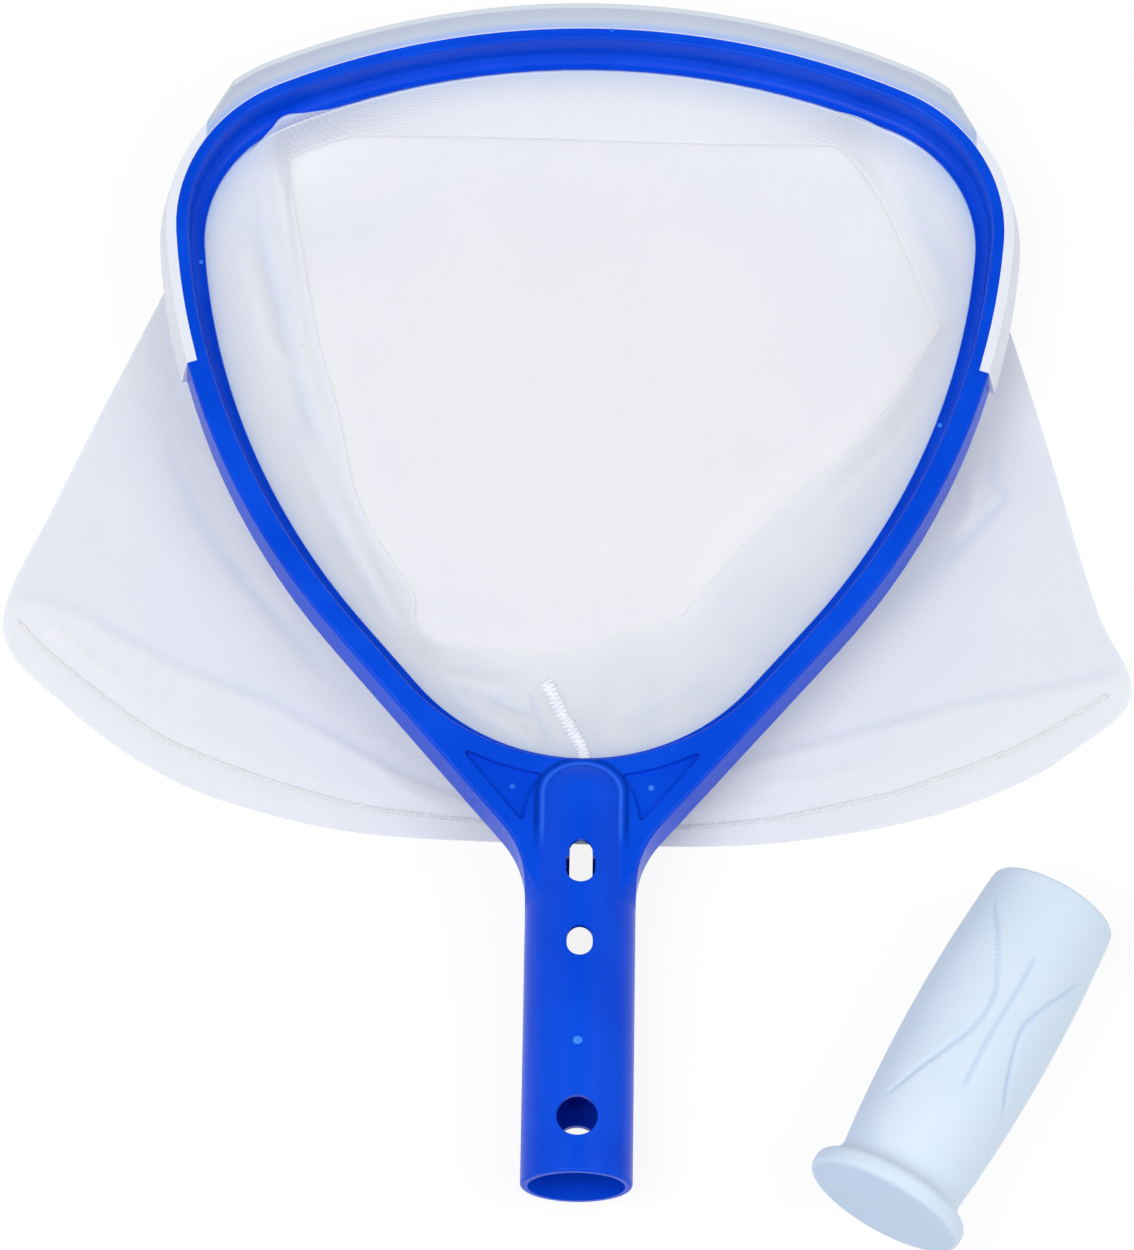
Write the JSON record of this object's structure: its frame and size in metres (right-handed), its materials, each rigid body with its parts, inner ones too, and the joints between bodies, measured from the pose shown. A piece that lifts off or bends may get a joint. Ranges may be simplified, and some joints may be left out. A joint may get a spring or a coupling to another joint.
{
  "type": "leaf skimmer net",
  "caption": "Hand skimmer net with a moulded plastic ring and round handle spigot, flexible scoop lip, deep fine-mesh bag and a separate rubber hand grip",
  "frame": {"origin": "centre of the handle's open free end, on the handle's axis", "axes": "+Y runs up the handle to the far edge of the ring, +Z points out of the mouth of the bag, +X is to the right seen from the mouth's side"},
  "size_m": [0.2998, 0.346, 0.0418],
  "materials": {
    "frame_plastic": "blue injection-moulded plastic, satin to glossy",
    "lip_plastic": "white flexible plastic, slightly translucent, matte",
    "mesh": "fine white woven nylon mesh, slightly see-through",
    "seam_thread": "white overlocked thread",
    "grip_rubber": "light-blue soft rubber, matte"
  },
  "bodies": {
    "net": {"frame": "frame_plastic", "scoop_lip": "lip_plastic", "bag_upper_panel": "mesh", "bag_bottom_panel": "mesh", "bag_end_seam": "seam_thread", "bag_back_seam": "seam_thread"},
    "grip": {"hand_grip": "grip_rubber"}
  },
  "joints": [
    {"name": "grip_lift", "type": "slide", "parent": "net", "child": "grip", "axis": [0, 0, 1], "range_m": [0, 0.12]}
  ]
}
